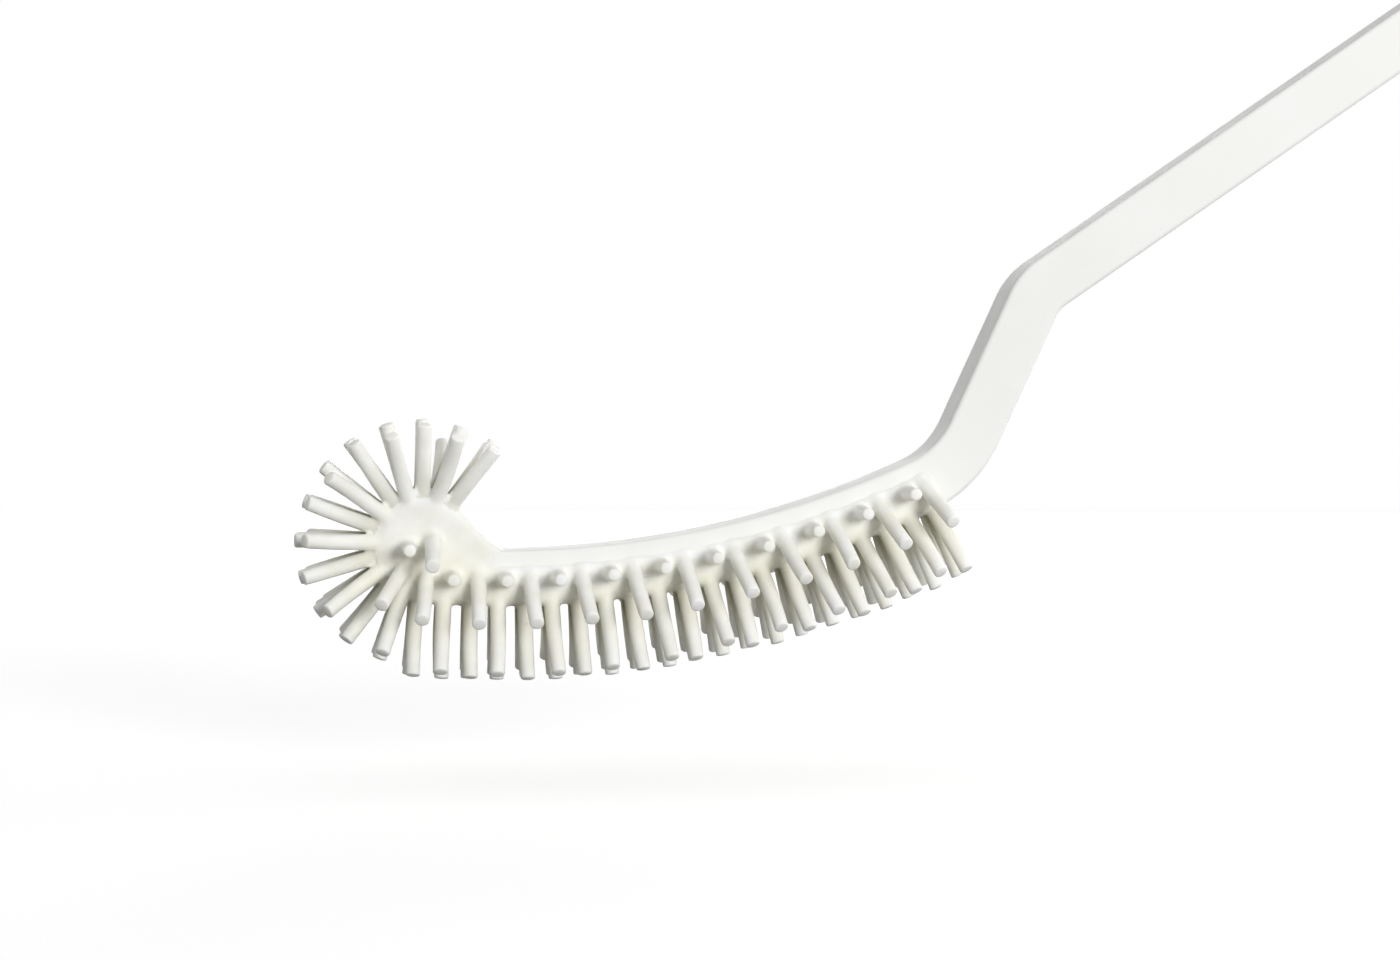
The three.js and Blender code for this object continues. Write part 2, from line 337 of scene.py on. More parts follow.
def smooth_min(a, b, width):
    overlap = np.maximum(width - np.abs(a - b), 0.0) / width
    return np.minimum(a, b) - overlap * overlap * width / 4


def along_bar(x, z):
    """Distance along the centreline from the tip, and offset to its upper side."""
    arch_x = x - ARCH_CENTRE[0]
    arch_z = z - ARCH_CENTRE[1]
    heel_x = x - HEEL_CENTRE[0]
    heel_z = z - HEEL_CENTRE[1]
    arch_slope = np.arctan2(arch_x, -arch_z)
    heel_slope = np.arctan2(heel_x, -heel_z)
    on_arch = arch_slope < HEEL_SLOPE
    along = np.where(
        on_arch,
        ARCH_RADIUS * (arch_slope - TIP_SLOPE),
        ARCH_LENGTH + HEEL_BEND_RADIUS * (heel_slope - HEEL_SLOPE),
    )
    offset = np.where(
        on_arch,
        ARCH_RADIUS - np.hypot(arch_x, arch_z),
        HEEL_BEND_RADIUS - np.hypot(heel_x, heel_z),
    )
    return along, offset


def side_outline(x, z):
    """Distance outside the outline that the bar and the hub have together, seen from the side."""
    along, offset = along_bar(x, z)
    hub = np.hypot(x - HUB_X, z - HUB_Z) - HUB_RADIUS
    bar = np.where(along < 0, np.hypot(x, z), np.abs(offset)) - TOP
    saddle = smoothstep(offset, 0.0, TOP) * smoothstep(x, 0.0, TOP)
    return smooth_min(hub, bar, NOSE_FILLET + (HUB_FILLET - NOSE_FILLET) * saddle)


def body_field(x, y, z):
    """The overmoulding without its fingers."""
    along, offset = along_bar(x, z)
    hub_distance = np.hypot(x - HUB_X, z - HUB_Z)
    outline = side_outline(x, z)

    sole_start, sole_stop = (SOFT_END - margin for margin in SOLE_STOPS)
    sole = (1 - smoothstep(offset, BOTTOM / 2, 0.0)) * (1 - smoothstep(along, sole_start, sole_stop))
    rounding = EDGE_RADIUS + (SOLE_ROUNDING - EDGE_RADIUS) * sole
    rounding = HUB_ROUNDING + (rounding - HUB_ROUNDING) * smoothstep(along, *ROUNDING_FADE)
    across = np.abs(y) - FACE + rounding
    inward = outline + rounding
    solid = np.minimum(np.maximum(inward, across), 0.0) - rounding
    solid += np.hypot(np.maximum(inward, 0.0), np.maximum(across, 0.0))

    low_cover = 1 - smoothstep(offset, BAND_BASE - SKIN_FADE, BAND_BASE + SKIN_FADE)
    end_cover = 1 - smoothstep(along, SOFT_END - SKIN_END_FADE, SOFT_END)
    tip_cover = 1 - smoothstep(hub_distance, *TIP_COVER)
    cover = np.maximum(low_cover * end_cover, tip_cover)
    skin = solid - (SKIN_PROUD * cover - SKIN_SUNK * (1 - cover))
    hidden = np.maximum(offset - HIDDEN_TOP, along - SOFT_END)
    return np.maximum(skin, np.minimum(hidden, hub_distance - TIP_COVER[1]))


def body_warmth(x, z):
    """Warm tint of the overmoulding: most at its underside, none where it meets the bare bar."""
    along, offset = along_bar(x, z)
    on_spine = smoothstep(along, *TINT_CHANGE)
    none_at = HUB_RISE + HUB_RADIUS + (BAND_BASE - HUB_RISE - HUB_RADIUS) * on_spine
    return 1 - smoothstep(offset, BOTTOM, none_at)


def body_painted_shade(x, y, z):
    """Painted shade on the overmoulding, a darker colour where shade falls: full on its sole and hub rim,
    between the inner rows of fingers.
    """
    along, offset = along_bar(x, z)
    bare = smoothstep(offset, 0.0, BAND_BASE) * smoothstep(along, *TINT_CHANGE)
    inner = 1 - smoothstep(np.abs(y), *PAINTED_SHADE_ROWS)
    return smoothstep(side_outline(x, z), -PAINTED_SHADE_DEPTH, 0.0) * (1 - bare) * inner


def stub_field(points, fingers):
    """The stubs of some fingers, at points sorted by X."""
    stubs = np.full(len(points), FAR_AWAY)
    reach = STUB_LENGTH + SHANK_REACH
    for root, axis, kind in fingers:
        low, high = np.searchsorted(points[:, 0], (root[0] - reach, root[0] + reach))
        away = points[low:high] - root
        height = away @ axis
        ray = np.sqrt(np.maximum((away * away).sum(1) - height * height, 0.0))
        stub = np.maximum(ray - finger_radius(height, kind), np.abs(height) - STUB_LENGTH)
        stubs[low:high] = smooth_min(stubs[low:high], stub, FINGER_FILLET)
    return stubs


def soft_field(points):
    """The overmoulding with the stubs of its fingers, at points sorted by X."""
    field = smooth_min(body_field(*points.T), stub_field(points, SIDES), SIDE_FILLET)
    return smooth_min(field, stub_field(points, ROWS), ROW_FILLET)


def surface_net(field, origin):
    """Points and quads of the zero surface of a field on a grid, one point in each crossed cell."""
    cells = tuple(count - 1 for count in field.shape)
    total = np.zeros(cells + (3,))
    crossings = np.zeros(cells)
    edges = []
    for axis in range(3):
        start = np.take(field, range(cells[axis]), axis)
        stop = np.take(field, range(1, field.shape[axis]), axis)
        crossed = (start < 0) != (stop < 0)
        share = np.where(crossed, start / np.where(crossed, start - stop, 1.0), 0.0)
        edges.append((crossed, start < 0))
        others = [other for other in range(3) if other != axis]
        for first in (0, 1):
            for second in (0, 1):
                part = [slice(None)] * 3
                part[others[0]] = slice(first, first + cells[others[0]])
                part[others[1]] = slice(second, second + cells[others[1]])
                here = crossed[tuple(part)]
                total[..., axis] += share[tuple(part)]
                total[..., others[0]] += first * here
                total[..., others[1]] += second * here
                crossings += here
    active = crossings > 0
    number = np.full(cells, -1)
    number[active] = np.arange(active.sum())
    corner = np.argwhere(active)
    points = origin + GRID_PITCH * (corner + total[active] / crossings[active][:, None])

    quads = []
    for axis, (crossed, outward) in enumerate(edges):
        one, two = (axis + 1) % 3, (axis + 2) % 3
        node = np.argwhere(crossed)
        node = node[(node[:, one] > 0) & (node[:, two] > 0)]
        node = node[(node[:, one] < cells[one]) & (node[:, two] < cells[two])]
        ring = []
        for back_one, back_two in ((1, 1), (0, 1), (0, 0), (1, 0)):
            cell = node.copy()
            cell[:, one] -= back_one
            cell[:, two] -= back_two
            ring.append(number[tuple(cell.T)])
        quad = np.stack(ring, 1)
        flip = ~outward[tuple(node.T)]
        quad[flip] = quad[flip][:, ::-1]
        quads.append(quad)
    return points, np.concatenate(quads)


def without_diagonals(field):
    """The field with all corners of a grid square taken inside, where only two across a diagonal are."""
    inside = field < 0
    before = -1
    while before != inside.sum():
        before = inside.sum()
        for one, two in ((0, 1), (0, 2), (1, 2)):
            corners = []
            for first in (0, 1):
                for second in (0, 1):
                    part = [slice(None)] * 3
                    part[one] = slice(first, first + field.shape[one] - 1)
                    part[two] = slice(second, second + field.shape[two] - 1)
                    corners.append(inside[tuple(part)])
            diagonal = (corners[0] == corners[3]) & (corners[1] == corners[2]) & (corners[0] != corners[1])
            for corner in corners:
                corner |= diagonal
    return np.where(inside & (field >= 0), JUST_INSIDE, field)


def field_grid():
    """Field values on a grid that holds the overmoulding and the stubs of its fingers."""
    margin = STUB_LENGTH + SHANK_REACH
    low = ROOTS.min(0) - margin
    high = ROOTS.max(0) + margin
    ticks = [np.arange(low[axis], high[axis], GRID_PITCH) for axis in range(3)]
    nodes = np.stack(np.meshgrid(*ticks, indexing="ij"), -1)
    values = soft_field(nodes.reshape(-1, 3))
    return without_diagonals(values.reshape(nodes.shape[:3])), low


def edge_pairs(quads):
    return np.concatenate([quads[:, [side, (side + 1) % 4]] for side in range(4)])


def onto_surface(points):
    """Points moved along the field's slope to its zero surface."""
    order = np.argsort(points[:, 0], kind="stable")
    moved = points[order]
    slope = np.zeros_like(moved)
    value = soft_field(moved)
    for axis in range(3):
        shift = np.zeros(3)
        shift[axis] = SLOPE_STEP
        ahead = soft_field(moved + shift)
        behind = soft_field(moved - shift)
        slope[:, axis] = (ahead - behind) / (2 * SLOPE_STEP)
    steepness = np.maximum((slope * slope).sum(1), LEAST_STEEPNESS)
    move = slope * (value / steepness)[:, None]
    moved -= np.clip(move, -LONGEST_MOVE, LONGEST_MOVE)
    result = np.empty_like(points)
    result[order] = moved
    return result


def relaxed(points, quads, held):
    """Points moved half way to the mean of their neighbours, apart from the held ones."""
    pairs = edge_pairs(quads)
    total = np.zeros_like(points)
    count = np.zeros(len(points))
    for here, there in (pairs.T, pairs.T[::-1]):
        np.add.at(total, here, points[there])
        np.add.at(count, here, 1)
    mean = total / np.maximum(count, 1)[:, None]
    return np.where((held | (count == 0))[:, None], points, (points + mean) / 2)


def heights_on(points, root, axis):
    away = points - root
    height = away @ axis
    return height, np.linalg.norm(away - height[:, None] * axis, axis=1)


def without_stub_ends(points, quads):
    """The quads left after every stub is cut off at the start of its shank, and their rim."""
    middle = points[quads].mean(1)
    keep = np.ones(len(quads), bool)
    for root, axis in zip(ROOTS, AXES):
        height, ray = heights_on(middle, root, axis)
        keep &= ~((height > SHANK_START) & (height < 2 * STUB_LENGTH) & (ray < SHANK_REACH))
    quads = quads[keep]
    while True:
        rim = rim_edges(quads)
        starts, uses = np.unique(rim[:, 0], return_counts=True)
        crossing = starts[uses > 1]
        if len(crossing) == 0:
            return quads, rim
        quads = quads[~np.isin(quads, crossing).any(1)]


def rim_edges(quads):
    """Directed edges that only one quad has."""
    pairs = edge_pairs(quads)
    size = quads.max() + 1
    key = pairs[:, 0] * size + pairs[:, 1]
    reverse = pairs[:, 1] * size + pairs[:, 0]
    return pairs[~np.isin(key, reverse)]


def rim_loops(rim):
    follow = dict(rim.tolist())
    loops = []
    while follow:
        start, here = follow.popitem()
        loop = [start]
        while here != start:
            loop.append(here)
            here = follow.pop(here)
        loops.append(loop)
    return loops


def side_directions(axis):
    """Two directions square to an axis and to each other."""
    helper = np.array([0.0, 1.0, 0.0]) if abs(axis[1]) < ALONG_Y else np.array([1.0, 0.0, 0.0])
    first = np.cross(axis, helper)
    first /= np.linalg.norm(first)
    return first, np.cross(axis, first)


def loop_angles(points, loop, root, first, second):
    """Even angles round a finger that fit its loop best, in the loop's order."""
    away = points[loop] - root
    angle = np.arctan2(away @ second, away @ first)
    turns = np.angle(np.exp(1j * (np.roll(angle, -1) - angle)))
    even = math.copysign(2 * math.pi, turns.sum()) * np.arange(len(loop)) / len(loop)
    return even + np.angle(np.exp(1j * (angle - even)).mean())


def shank_rings(length, kind):
    """Height and radius of each ring of a shank above its first one, with a rounded rim."""
    rings = []
    for step in range(1, SHANK_STEPS + 1):
        height = SHANK_START + (length - RIM_RADIUS - SHANK_START) * step / SHANK_STEPS
        rings.append((height, finger_radius(height, kind)))
    rim_height, rim_ray = rings[-1]
    for step in range(1, RIM_STEPS + 1):
        angle = math.pi / 2 * step / RIM_STEPS
        ray = rim_ray - RIM_RADIUS * (1 - math.cos(angle))
        rings.append((rim_height + RIM_RADIUS * math.sin(angle), ray))
    rings.append((length + DOME_RING_HEIGHT, (rim_ray - RIM_RADIUS) / 2))
    return rings


def warmth_and_painted_shade_left(height):
    """Share of the root's warm tint and painted shade that is left at a height on a finger."""
    warmth = 1 - np.clip(height / FINGER_LENGTH, 0.0, 1.0)
    painted_shade = 1 - smoothstep(height, 0.0, PAINTED_SHADE_HEIGHT)
    return np.stack((warmth, painted_shade), -1)


def body_warmth_and_painted_shade(points):
    """Warm tint and painted shade of each point of the overmoulding and the starts of its fingers."""
    warmth_and_painted_shade = np.stack((body_warmth(points[:, 0], points[:, 2]), body_painted_shade(*points.T)), 1)
    for root, axis in zip(ROOTS, AXES):
        height, ray = heights_on(points, root, axis)
        on_finger = (ray < SHANK_REACH) & (height > 0) & (height < STUB_LENGTH)
        # The starts of the fingers take the painted shade of their roots, darker between the inner rows
        # where shade falls
        warmth_and_painted_shade[on_finger, 1] = body_painted_shade(*root)
        warmth_and_painted_shade[on_finger] *= warmth_and_painted_shade_left(height[on_finger])
    return warmth_and_painted_shade


def shank_starts(points, rim):
    """Sets each rim loop evenly round its finger. Gives each finger's number, loop and spokes."""
    starts = []
    for loop in rim_loops(rim):
        middle = points[loop].mean(0)
        owner = np.linalg.norm(ROOTS + SHANK_START * AXES - middle, axis=1).argmin()
        first, second = side_directions(AXES[owner])
        angles = loop_angles(points, loop, ROOTS[owner], first, second)
        spokes = np.cos(angles)[:, None] * first + np.sin(angles)[:, None] * second
        ray = finger_radius(SHANK_START, KINDS[owner])
        points[loop] = ROOTS[owner] + SHANK_START * AXES[owner] + ray * spokes
        starts.append((owner, loop, spokes))
    return sorted(starts, key=lambda start: start[0])


def shank(owner, spokes, chance):
    """Height and points of each ring of a finger's shank, and the point at its end, a little uneven."""
    kind = KINDS[owner]
    first, second = side_directions(AXES[owner])
    length = kind[0] + LENGTH_SPREAD * chance.uniform(-1, 1)
    bend = first * chance.uniform(-1, 1) + second * chance.uniform(-1, 1)

    def spine(height):
        share = (height - SHANK_START) / (FINGER_LENGTH - SHANK_START)
        return ROOTS[owner] + height * AXES[owner] + SHANK_BEND * share * share * bend

    rings = [(height, spine(height) + ray * spokes) for height, ray in shank_rings(length, kind)]
    return rings, spine(length + END_DOME)


def soft_body():
    """Points and quads of the overmoulding, open where the shanks start, and those starts."""
    points, quads = surface_net(*field_grid())
    held = np.zeros(len(points), bool)
    for _ in range(FIRST_RELAXINGS):
        points = onto_surface(relaxed(points, quads, held))
    quads, rim = without_stub_ends(points, quads)
    starts = shank_starts(points, rim)
    held[rim[:, 0]] = True
    for _ in range(LAST_RELAXINGS):
        points = relaxed(points, quads, held)
        points[~held] = onto_surface(points)[~held]
    return points, quads, starts


def overmoulding():
    """Points, faces and the warm tint and painted shade of each point, for the overmoulding and all its
    fingers.
    """
    points, quads, starts = soft_body()
    used = np.unique(quads)
    renumber = np.full(len(points), -1)
    renumber[used] = np.arange(len(used))
    points = points[used]
    faces = renumber[quads].tolist()
    warmth_and_painted_shade = body_warmth_and_painted_shade(points)

    chance = np.random.default_rng(SEED)
    added = [points]
    warmths_and_painted_shades = [warmth_and_painted_shade]
    count = len(points)
    for owner, loop, spokes in starts:
        below = renumber[loop].tolist()
        size = len(below)
        start_warmth_and_painted_shade = warmth_and_painted_shade[below].mean(0) / warmth_and_painted_shade_left(SHANK_START)
        rings, end = shank(owner, spokes, chance)
        for height, ring in rings:
            added.append(ring)
            warmths_and_painted_shades.append(np.tile(start_warmth_and_painted_shade * warmth_and_painted_shade_left(height), (size, 1)))
            above = list(range(count, count + size))
            for index in range(size):
                after = (index + 1) % size
                faces.append([below[after], below[index], above[index], above[after]])
            below = above
            count += size
        added.append(end[None])
        warmths_and_painted_shades.append(np.zeros((1, 2)))
        for index in range(size):
            faces.append([below[(index + 1) % size], below[index], count])
        count += 1
    return np.concatenate(added), faces, np.concatenate(warmths_and_painted_shades)


# Handle

SPINE_GROWS = [progress_at(distance, 0.0) for distance in SPINE_START]
FLOOR_DROPS = [progress_at(SOFT_RUN - margin, BOTTOM) for margin in SPINE_FLOOR_STOPS]


def handle_stops():
    """Progress values along the whole bar, close together on the arcs."""
    start = SPINE_GROWS[0]
    stops = [start]
    for index, run in enumerate(RUNS):
        if run["turn"] == 0:
            steps = math.ceil(run["length"] / STRAIGHT_STEP)
        else:
            steps = math.ceil(abs(run["turn"]) / ARC_STEP) * (ARCH_FINENESS if index == 0 else 1)
        stops += [index + step / steps for step in range(1, steps + 1) if index + step / steps > start]
    return stops


def spine_inset(stop):
    """How far in the bar's sides are where it starts inside the tip."""
    return SPINE_START_INSET * (1 - float(smoothstep(stop, *SPINE_GROWS)))


def spine_bottom(stop):
    """Offset of the bar's underside, which is higher where the overmoulding covers it."""
    return BOTTOM + SPINE_FLOOR * (1 - float(smoothstep(stop, *FLOOR_DROPS)))


def handle_outline(stops, inset, y):
    """Points along the bar's underside, round its far end and back along its top."""
    points = []
    for stop in stops:
        x, z, _ = point_at(stop, spine_bottom(stop) + inset + spine_inset(stop))
        points.append((x, y * (1 - spine_inset(stop) / FACE), z))
    end_x, end_z, end_slope = point_at(len(RUNS), 0.0)
    ray = TOP - inset
    for step in range(1, END_STEPS):
        angle = end_slope - math.pi / 2 + math.pi * step / END_STEPS
        points.append((end_x + ray * math.cos(angle), y, end_z + ray * math.sin(angle)))
    for stop in reversed(stops):
        x, z, _ = point_at(stop, TOP - inset - spine_inset(stop))
        points.append((x, y * (1 - spine_inset(stop) / FACE), z))
    return points


def rim_levels():
    """Inset and Y of each outline through the bar's thickness, rounded at both rims."""
    levels = []
    for step in range(RIM_SEGMENTS + 1):
        angle = math.pi / 2 * step / RIM_SEGMENTS
        levels.append((EDGE_RADIUS * (1 - math.sin(angle)), EDGE_RADIUS * (1 - math.cos(angle)) - FACE))
    return levels + [(inset, -y) for inset, y in reversed(levels)]


def handle():
    """Points and faces of the bar: walls between its outlines, and strips across the first and last one."""
    stops = handle_stops()
    points = [point for inset, y in rim_levels() for point in handle_outline(stops, inset, y)]
    size = 2 * len(stops) + END_STEPS - 1
    back = len(points) - size
    faces = []
    for low_row in range(0, back, size):
        high_row = low_row + size
        for index in range(size):
            after = (index + 1) % size
            faces.append([low_row + index, high_row + index, high_row + after, low_row + after])
    for index in range((size - 1) // 2):
        opposite = size - 1 - index
        strip = list(dict.fromkeys([index, index + 1, opposite - 1, opposite]))
        faces.append(strip)
        faces.append([back + corner for corner in reversed(strip)])
    return np.array(points), faces


handle_piece = piece_from_mesh("handle_bar", *handle())
handle_normals = handle_piece.modifiers.new("even_normals", "WEIGHTED_NORMAL")
handle_normals.weight = NORMAL_WEIGHT

soft_points, soft_faces, soft_warmth_and_painted_shade = overmoulding()
soft_piece = piece_from_mesh("finger_overmould", soft_points, soft_faces)
# Point attributes for the material: warm tint, and painted shade where shade falls between the rows and on
# the sole
for column, tint_name in enumerate(("warmth", "painted_shade")):
    layer = soft_piece.data.attributes.new(tint_name, "FLOAT", "POINT")
    layer.data.foreach_set("value", np.ascontiguousarray(soft_warmth_and_painted_shade[:, column]))


# Materials: colours, and the scale and detail of each noise

NOISE_RANGE = (0.3, 0.7)
HANDLE_COLOURS = ((0.86, 0.866, 0.838), (0.885, 0.891, 0.867))
HANDLE_CLOUD = (45.0, 3.0)
HANDLE_SMEAR = (160.0, 4.0)
HANDLE_GRAIN = (900.0, 3.0)
HANDLE_ROUGHNESS = (0.55, 0.68)
HANDLE_SHINE = 0.04
HANDLE_BUMP = (0.00006, 0.25)
RUBBER_COLOURS = ((0.9, 0.9, 0.88), (0.895, 0.887, 0.8))
# Painted shade: a darker olive colour multiplied in on the sole, the hub rim and between the inner rows of
# fingers
RUBBER_PAINTED_SHADE = ((1.0, 1.0, 1.0), (0.6, 0.59, 0.5))
RUBBER_STAINS = ((0.94, 0.935, 0.895), (1.0, 1.0, 1.0))
RUBBER_STAIN_RANGE = (0.36, 0.62)
RUBBER_CLOUD = (120.0, 4.0)
RUBBER_SMEAR = (300.0, 4.0)
RUBBER_GRAIN = (1400.0, 4.0)
RUBBER_ROUGHNESS = (0.45, 0.62)
RUBBER_SHINE = 0.12
RUBBER_BUMP = (0.00008, 0.3)
RUBBER_SUBSURFACE = 0.4
RUBBER_SUBSURFACE_RADIUS = (1.0, 0.9, 0.7)
RUBBER_SUBSURFACE_SCALE = 0.0015


def new_material(name):
    material = bpy.data.materials.new(name)
    material.use_nodes = True
    nodes = material.node_tree.nodes
    return material, nodes, material.node_tree.links, nodes["Principled BSDF"]


def noise(nodes, links, source, scale, detail):
    node = nodes.new("ShaderNodeTexNoise")
    node.inputs["Scale"].default_value = scale
    node.inputs["Detail"].default_value = detail
    links.new(source, node.inputs["Vector"])
    return node.outputs["Fac"]


def ramp(nodes, links, source, colours, stops=(0.0, 1.0)):
    """Colours between two, for a value between two stops."""
    node = nodes.new("ShaderNodeValToRGB")
    for element, colour, stop in zip(node.color_ramp.elements, colours, stops):
        element.position = stop
        element.color = (*colour, 1)
    links.new(source, node.inputs["Fac"])
    return node.outputs["Color"]


def attribute(nodes, name):
    node = nodes.new("ShaderNodeAttribute")
    node.attribute_name = name
    return node.outputs["Fac"]


def multiplied(nodes, links, first, second):
    node = nodes.new("ShaderNodeMix")
    node.data_type = "RGBA"
    node.blend_type = "MULTIPLY"
    node.inputs["Factor"].default_value = 1.0
    sockets = [socket for socket in node.inputs if socket.type == "RGBA"]
    links.new(first, sockets[0])
    links.new(second, sockets[1])
    return next(socket for socket in node.outputs if socket.type == "RGBA")


def spread(nodes, links, source, low, high):
    """A noise spread over the values from low to high."""
    node = nodes.new("ShaderNodeMapRange")
    node.inputs["From Min"].default_value = NOISE_RANGE[0]
    node.inputs["From Max"].default_value = NOISE_RANGE[1]
    node.inputs["To Min"].default_value = low
    node.inputs["To Max"].default_value = high
    links.new(source, node.inputs["Value"])
    return node.outputs["Result"]


def bump(nodes, links, source, distance, strength, target):
    node = nodes.new("ShaderNodeBump")
    node.inputs["Distance"].default_value = distance
    node.inputs["Strength"].default_value = strength
    links.new(source, node.inputs["Height"])
    links.new(node.outputs["Normal"], target)


def handle_plastic():
    material, nodes, links, shader = new_material("handle_plastic")
    place = nodes.new("ShaderNodeTexCoord").outputs["Object"]
    cloud = noise(nodes, links, place, *HANDLE_CLOUD)
    links.new(ramp(nodes, links, cloud, HANDLE_COLOURS, NOISE_RANGE), shader.inputs["Base Color"])
    smear = noise(nodes, links, place, *HANDLE_SMEAR)
    links.new(spread(nodes, links, smear, *HANDLE_ROUGHNESS), shader.inputs["Roughness"])
    grain = noise(nodes, links, place, *HANDLE_GRAIN)
    bump(nodes, links, grain, *HANDLE_BUMP, shader.inputs["Normal"])
    shader.inputs["Specular IOR Level"].default_value = HANDLE_SHINE
    return material


def finger_rubber():
    material, nodes, links, shader = new_material("finger_rubber")
    place = nodes.new("ShaderNodeTexCoord").outputs["Object"]
    cloud = noise(nodes, links, place, *RUBBER_CLOUD)
    colour = ramp(nodes, links, attribute(nodes, "warmth"), RUBBER_COLOURS)
    # Painted shade from the point attribute, darker in the crevices between the inner rows and low on the
    # fingers
    painted_shade = ramp(nodes, links, attribute(nodes, "painted_shade"), RUBBER_PAINTED_SHADE)
    stains = ramp(nodes, links, cloud, RUBBER_STAINS, RUBBER_STAIN_RANGE)
    for factor in (painted_shade, stains):
        colour = multiplied(nodes, links, colour, factor)
    links.new(colour, shader.inputs["Base Color"])
    smear = noise(nodes, links, place, *RUBBER_SMEAR)
    links.new(spread(nodes, links, smear, *RUBBER_ROUGHNESS), shader.inputs["Roughness"])
    grain = noise(nodes, links, place, *RUBBER_GRAIN)
    bump(nodes, links, grain, *RUBBER_BUMP, shader.inputs["Normal"])
    shader.inputs["Specular IOR Level"].default_value = RUBBER_SHINE
    shader.inputs["Subsurface Weight"].default_value = RUBBER_SUBSURFACE
    shader.inputs["Subsurface Radius"].default_value = RUBBER_SUBSURFACE_RADIUS
    shader.inputs["Subsurface Scale"].default_value = RUBBER_SUBSURFACE_SCALE
    return material


handle_piece.data.materials.append(handle_plastic())
soft_piece.data.materials.append(finger_rubber())
for piece, slot in ((handle_piece, "handle_plastic"), (soft_piece, "finger_rubber")):
    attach(piece, "root")
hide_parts("handle_core")
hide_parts("tip_fingers", "toe_fingers", "middle_fingers", "heel_fingers")


# Stage, in metres

WHITE = 1.0
FLOOR_HEIGHT = -0.195
FLOOR_HALF_SIZE = 40.0
AMBIENT = 0.48
KEY_AT = (0.3, -1.28, 0.13)
KEY_AIM = (-0.12, 0.0, -0.07)
KEY_SIZE = 0.5
KEY_POWER = 13.3
BACK_AT = (0.1, 1.3, 0.05)
BACK_SIZE = 0.9
BACK_POWER = 11.5
TOP_AT = (-0.95, 0.15, 0.5)
TOP_SIZE = 0.9
TOP_POWER = 0.6
SIDE_AT = (1.25, 0.3, -0.05)
SIDE_SIZE = 0.6
SIDE_POWER = 7.5
FLOOR_BOUNCE = 0.2
FLOOR_SEEN = 0.7
FLOOR_GLOW = 0.46
FLOOR_FADE = (0.45, 1.6)


def seen_directly(nodes, links):
    """1 for what the camera sees, straight, reflected or through glass, and 0 for light on the object."""
    path = nodes.new("ShaderNodeLightPath")
    seen = path.outputs["Is Camera Ray"]
    for other in ("Is Glossy Ray", "Is Transmission Ray"):
        either = nodes.new("ShaderNodeMath")
        either.operation = "MAXIMUM"
        links.new(seen, either.inputs[0])
        links.new(path.outputs[other], either.inputs[1])
        seen = either.outputs["Value"]
    return seen


def mixed(nodes, links, share, first, second):
    mix = nodes.new("ShaderNodeMixShader")
    links.new(share, mix.inputs["Fac"])
    links.new(first, mix.inputs[1])
    links.new(second, mix.inputs[2])
    return mix.outputs["Shader"]


def matt(nodes, grey):
    node = nodes.new("ShaderNodeBsdfDiffuse")
    node.inputs["Color"].default_value = (grey, grey, grey, 1)
    return node.outputs["BSDF"]


def glow(nodes, strength):
    node = nodes.new("ShaderNodeEmission")
    node.inputs["Strength"].default_value = strength
    return node.outputs["Emission"]


def floor_material():
    """Floor seen as the white background, with the object's shadow, that throws little light back up."""
    material, nodes, links, shader = new_material("floor_white")
    nodes.remove(shader)
    place = nodes.new("ShaderNodeTexCoord").outputs["Object"]
    distance = nodes.new("ShaderNodeVectorMath")
    distance.operation = "LENGTH"
    links.new(place, distance.inputs[0])
    fade = nodes.new("ShaderNodeMapRange")
    fade.interpolation_type = "SMOOTHSTEP"
    fade.inputs["From Min"].default_value = FLOOR_FADE[0]
    fade.inputs["From Max"].default_value = FLOOR_FADE[1]
    links.new(distance.outputs["Value"], fade.inputs["Value"])
    near = nodes.new("ShaderNodeAddShader")
    links.new(matt(nodes, FLOOR_SEEN), near.inputs[0])
    links.new(glow(nodes, FLOOR_GLOW), near.inputs[1])
    seen = mixed(nodes, links, fade.outputs["Result"], near.outputs["Shader"], glow(nodes, WHITE))
    surface = mixed(nodes, links, seen_directly(nodes, links), matt(nodes, FLOOR_BOUNCE), seen)
    links.new(surface, nodes["Material Output"].inputs["Surface"])
    return material


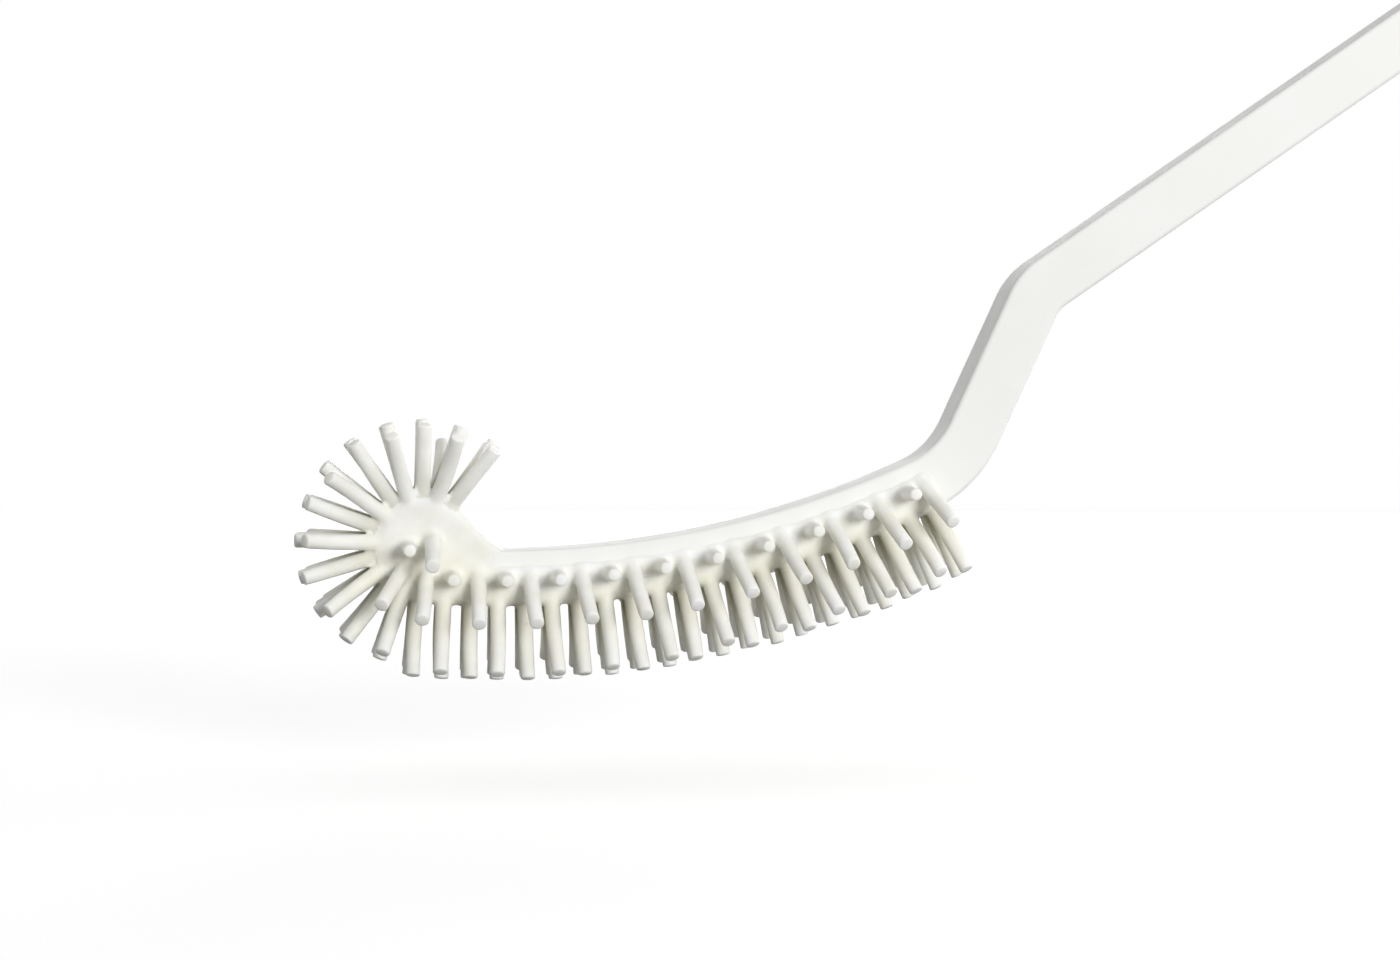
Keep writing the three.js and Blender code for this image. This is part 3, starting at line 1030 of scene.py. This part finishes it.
def stage_floor():
    mesh = bpy.data.meshes.new("floor")
    size = FLOOR_HALF_SIZE
    corners = [(-size, -size), (size, -size), (size, size), (-size, size)]
    mesh.from_pydata([(x, y, FLOOR_HEIGHT) for x, y in corners], [], [(0, 1, 2, 3)])
    mesh.materials.append(floor_material())
    floor = bpy.data.objects.new("floor", mesh)
    bpy.context.scene.collection.objects.link(floor)
    floor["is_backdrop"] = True


def stage_world():
    """White where the camera and reflections look, softer as a light on the object."""
    world = bpy.data.worlds.new("studio")
    bpy.context.scene.world = world
    world.use_nodes = True
    nodes = world.node_tree.nodes
    links = world.node_tree.links
    strength = nodes.new("ShaderNodeMapRange")
    strength.inputs["To Min"].default_value = AMBIENT
    strength.inputs["To Max"].default_value = WHITE
    links.new(seen_directly(nodes, links), strength.inputs["Value"])
    nodes["Background"].inputs["Color"].default_value = (1, 1, 1, 1)
    links.new(strength.outputs["Result"], nodes["Background"].inputs["Strength"])


def area_lamp(name, place, aim, size, power):
    data = bpy.data.lights.new(name, "AREA")
    data.shape = "DISK"
    data.size = size
    data.energy = power
    lamp = bpy.data.objects.new(name, data)
    bpy.context.scene.collection.objects.link(lamp)
    lamp.location = place
    away = [here - there for here, there in zip(place, aim)]
    pan = math.atan2(away[0], -away[1])
    tilt = math.atan2(math.hypot(away[0], away[1]), away[2])
    lamp.rotation_euler = (tilt, 0, pan)


# Camera: placed so that the bar and the fan lie on the photograph's pixels

CAMERA_AT = (-0.27183, -0.58175, -0.09926)
CAMERA_TILT = math.radians(2.0526)
CAMERA_PAN = math.radians(-7.754)
CAMERA_LENS = 60.43
CAMERA_SENSOR = 36.0


def stage_camera():
    data = bpy.data.cameras.new("camera")
    data.lens = CAMERA_LENS
    data.sensor_width = CAMERA_SENSOR
    camera = bpy.data.objects.new("camera", data)
    bpy.context.scene.collection.objects.link(camera)
    camera.location = CAMERA_AT
    camera.rotation_euler = (math.pi / 2 - CAMERA_TILT, 0, CAMERA_PAN)
    bpy.context.scene.camera = camera


stage_floor()
stage_world()
area_lamp("key", KEY_AT, KEY_AIM, KEY_SIZE, KEY_POWER)
area_lamp("back", BACK_AT, KEY_AIM, BACK_SIZE, BACK_POWER)
area_lamp("top", TOP_AT, KEY_AIM, TOP_SIZE, TOP_POWER)
area_lamp("side", SIDE_AT, KEY_AIM, SIDE_SIZE, SIDE_POWER)
stage_camera()
bpy.context.scene.view_settings.view_transform = "Standard"

boxes = {"cad": cad_box, "visual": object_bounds()}
{name: [list(corner) for corner in box] for name, box in boxes.items()}
